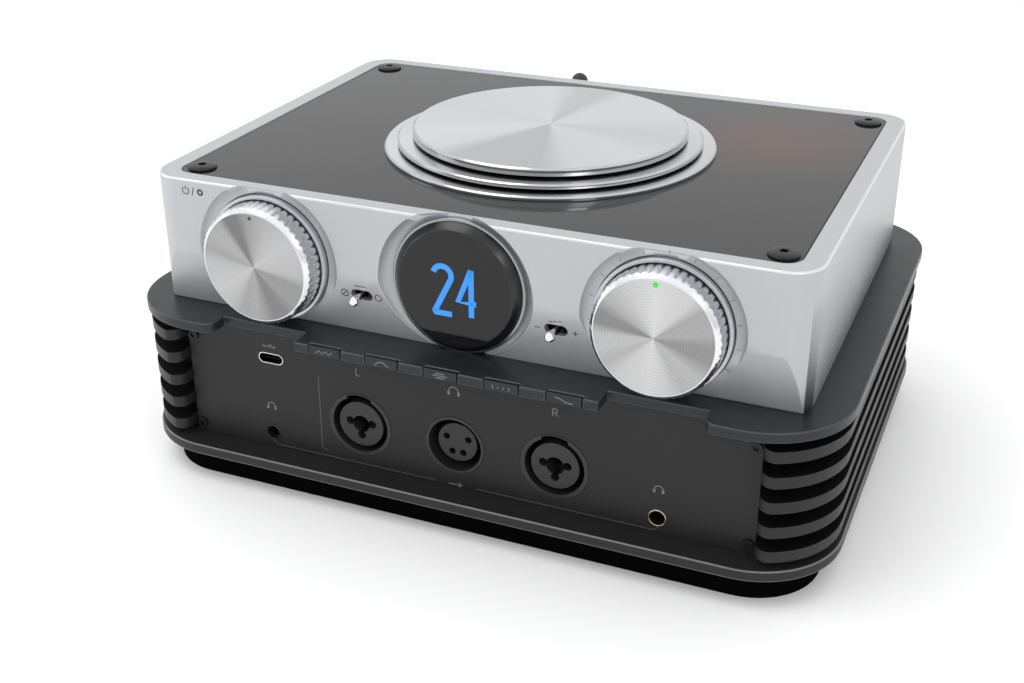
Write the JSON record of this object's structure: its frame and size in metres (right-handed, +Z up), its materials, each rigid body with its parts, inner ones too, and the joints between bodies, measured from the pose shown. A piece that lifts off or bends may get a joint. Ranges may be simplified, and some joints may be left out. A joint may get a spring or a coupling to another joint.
{
  "type": "desktop headphone amplifier",
  "caption": "Desktop headphone amplifier: silver upper case with two dials, round display and stepped top disc on a finned dark base with headphone sockets.",
  "frame": {"origin": "centre of the base's footprint (without the aerial) on the surface that it stands on", "axes": "+X to the right seen from the front, -Y towards the user, +Z up"},
  "size_m": [0.256, 0.1996, 0.1186],
  "materials": {
    "case": "bead-blasted silver anodised",
    "polished": "turned and bright anodised",
    "chrome": "polished plate",
    "glass": "smoked, glossy",
    "valve_glass": "clear",
    "lens": "gloss black",
    "screen": "dark display",
    "lamp": "green light pipe",
    "screws": "blackened steel",
    "platform": "black anodised",
    "body": "graphite anodised",
    "plastic": "matte black",
    "board": "circuit board",
    "ceramic": "glazed ceramic",
    "gold": "gold plated",
    "steel": "machined steel",
    "cans": "sleeved aluminium can",
    "rubber": "matte black"
  },
  "bodies": {
    "chassis": {"upper_case": "case", "top_glass": "glass", "glass_screws": "screws", "disc_stud": "steel", "disc_low": "polished", "disc_middle": "polished", "disc_spacers": "screws", "disc_top": "polished", "display_ring": "polished", "display_lens": "lens", "display_panel": "screen", "menu_collar": "polished", "volume_collar": "polished", "menu_encoder": "plastic", "volume_pot": "plastic", "motor": "steel", "mode_switch": "plastic", "gain_switch": "plastic", "control_board": "board", "valve_board": "board", "valves": "valve_glass", "valve_sockets": "ceramic", "case_bolts": "screws", "platform": "platform", "key_switches": "plastic", "heatsink_left": "body", "heatsink_right": "body", "front_panel": "body", "rear_panel": "body", "panel_screws": "screws", "combo_left": "plastic", "combo_right": "plastic", "balanced_socket": "plastic", "large_jack": "gold", "small_jack": "plastic", "data_port": "chrome", "main_board": "board", "capacitors": "cans", "chip_heatsinks": "body", "line_sockets": "gold", "rear_sockets": "plastic", "aerial_mount": "gold", "base_plate": "body", "base_foot": "rubber"},
    "menu_push": {"menu_plunger": "steel"},
    "menu_dial": {"menu_knob": "polished", "menu_shaft": "steel"},
    "volume_dial": {"volume_knob": "polished", "volume_lamp": "lamp", "volume_shaft": "steel"},
    "motor_gear": {"motor_pinion": "gold"},
    "mode_bat": {"mode_lever": "chrome"},
    "gain_bat": {"gain_lever": "chrome"},
    "key_1": {"key_1": "platform"},
    "key_2": {"key_2": "platform"},
    "key_3": {"key_3": "platform"},
    "key_4": {"key_4": "platform"},
    "key_5": {"key_5": "platform"},
    "aerial_swivel": {"aerial_knuckle": "plastic"},
    "aerial": {"aerial_rod": "plastic"}
  },
  "joints": [
    {"name": "menu_press", "type": "slide", "parent": "chassis", "child": "menu_push", "axis": [0, 1, 0], "range_m": [0, 0.0008], "stiffness_N_per_m": 2500, "springref_m": -0.0004},
    {"name": "menu_turn", "type": "hinge", "parent": "menu_push", "child": "menu_dial", "pos_m": [-0.0694, -0.0728, 0.0871], "axis": [0, -1, 0], "continuous": true},
    {"name": "volume_turn", "type": "hinge", "parent": "chassis", "child": "volume_dial", "pos_m": [0.0694, -0.0728, 0.0871], "axis": [0, -1, 0], "range_deg": [-145, 145]},
    {"name": "motor_turn", "type": "hinge", "parent": "chassis", "child": "motor_gear", "pos_m": [0.0477, -0.0508, 0.0871], "axis": [0, -1, 0], "range_deg": [-295, 295]},
    {"name": "mode_throw", "type": "hinge", "parent": "chassis", "child": "mode_bat", "pos_m": [-0.0346, -0.0761, 0.079], "axis": [0, 0, 1], "range_deg": [-20, 20]},
    {"name": "gain_throw", "type": "hinge", "parent": "chassis", "child": "gain_bat", "pos_m": [0.0346, -0.0761, 0.079], "axis": [0, 0, 1], "range_deg": [-20, 20]},
    {"name": "key_1_press", "type": "slide", "parent": "chassis", "child": "key_1", "axis": [0, 1, 0], "range_m": [0, 0.0007], "stiffness_N_per_m": 500, "springref_m": -0.0004},
    {"name": "key_2_press", "type": "slide", "parent": "chassis", "child": "key_2", "axis": [0, 1, 0], "range_m": [0, 0.0007], "stiffness_N_per_m": 500, "springref_m": -0.0004},
    {"name": "key_3_press", "type": "slide", "parent": "chassis", "child": "key_3", "axis": [0, 1, 0], "range_m": [0, 0.0007], "stiffness_N_per_m": 500, "springref_m": -0.0004},
    {"name": "key_4_press", "type": "slide", "parent": "chassis", "child": "key_4", "axis": [0, 1, 0], "range_m": [0, 0.0007], "stiffness_N_per_m": 500, "springref_m": -0.0004},
    {"name": "key_5_press", "type": "slide", "parent": "chassis", "child": "key_5", "axis": [0, 1, 0], "range_m": [0, 0.0007], "stiffness_N_per_m": 500, "springref_m": -0.0004},
    {"name": "aerial_spin", "type": "hinge", "parent": "chassis", "child": "aerial_swivel", "pos_m": [-0.026, 0.0928, 0.04], "axis": [0, 1, 0], "continuous": true},
    {"name": "aerial_fold", "type": "hinge", "parent": "aerial_swivel", "child": "aerial", "pos_m": [-0.026, 0.1008, 0.04], "axis": [-1, 0, 0], "range_deg": [0, 90]}
  ],
  "couplings": [
    {"joint": "motor_turn", "follows": "volume_turn", "ratio": -2}
  ]
}
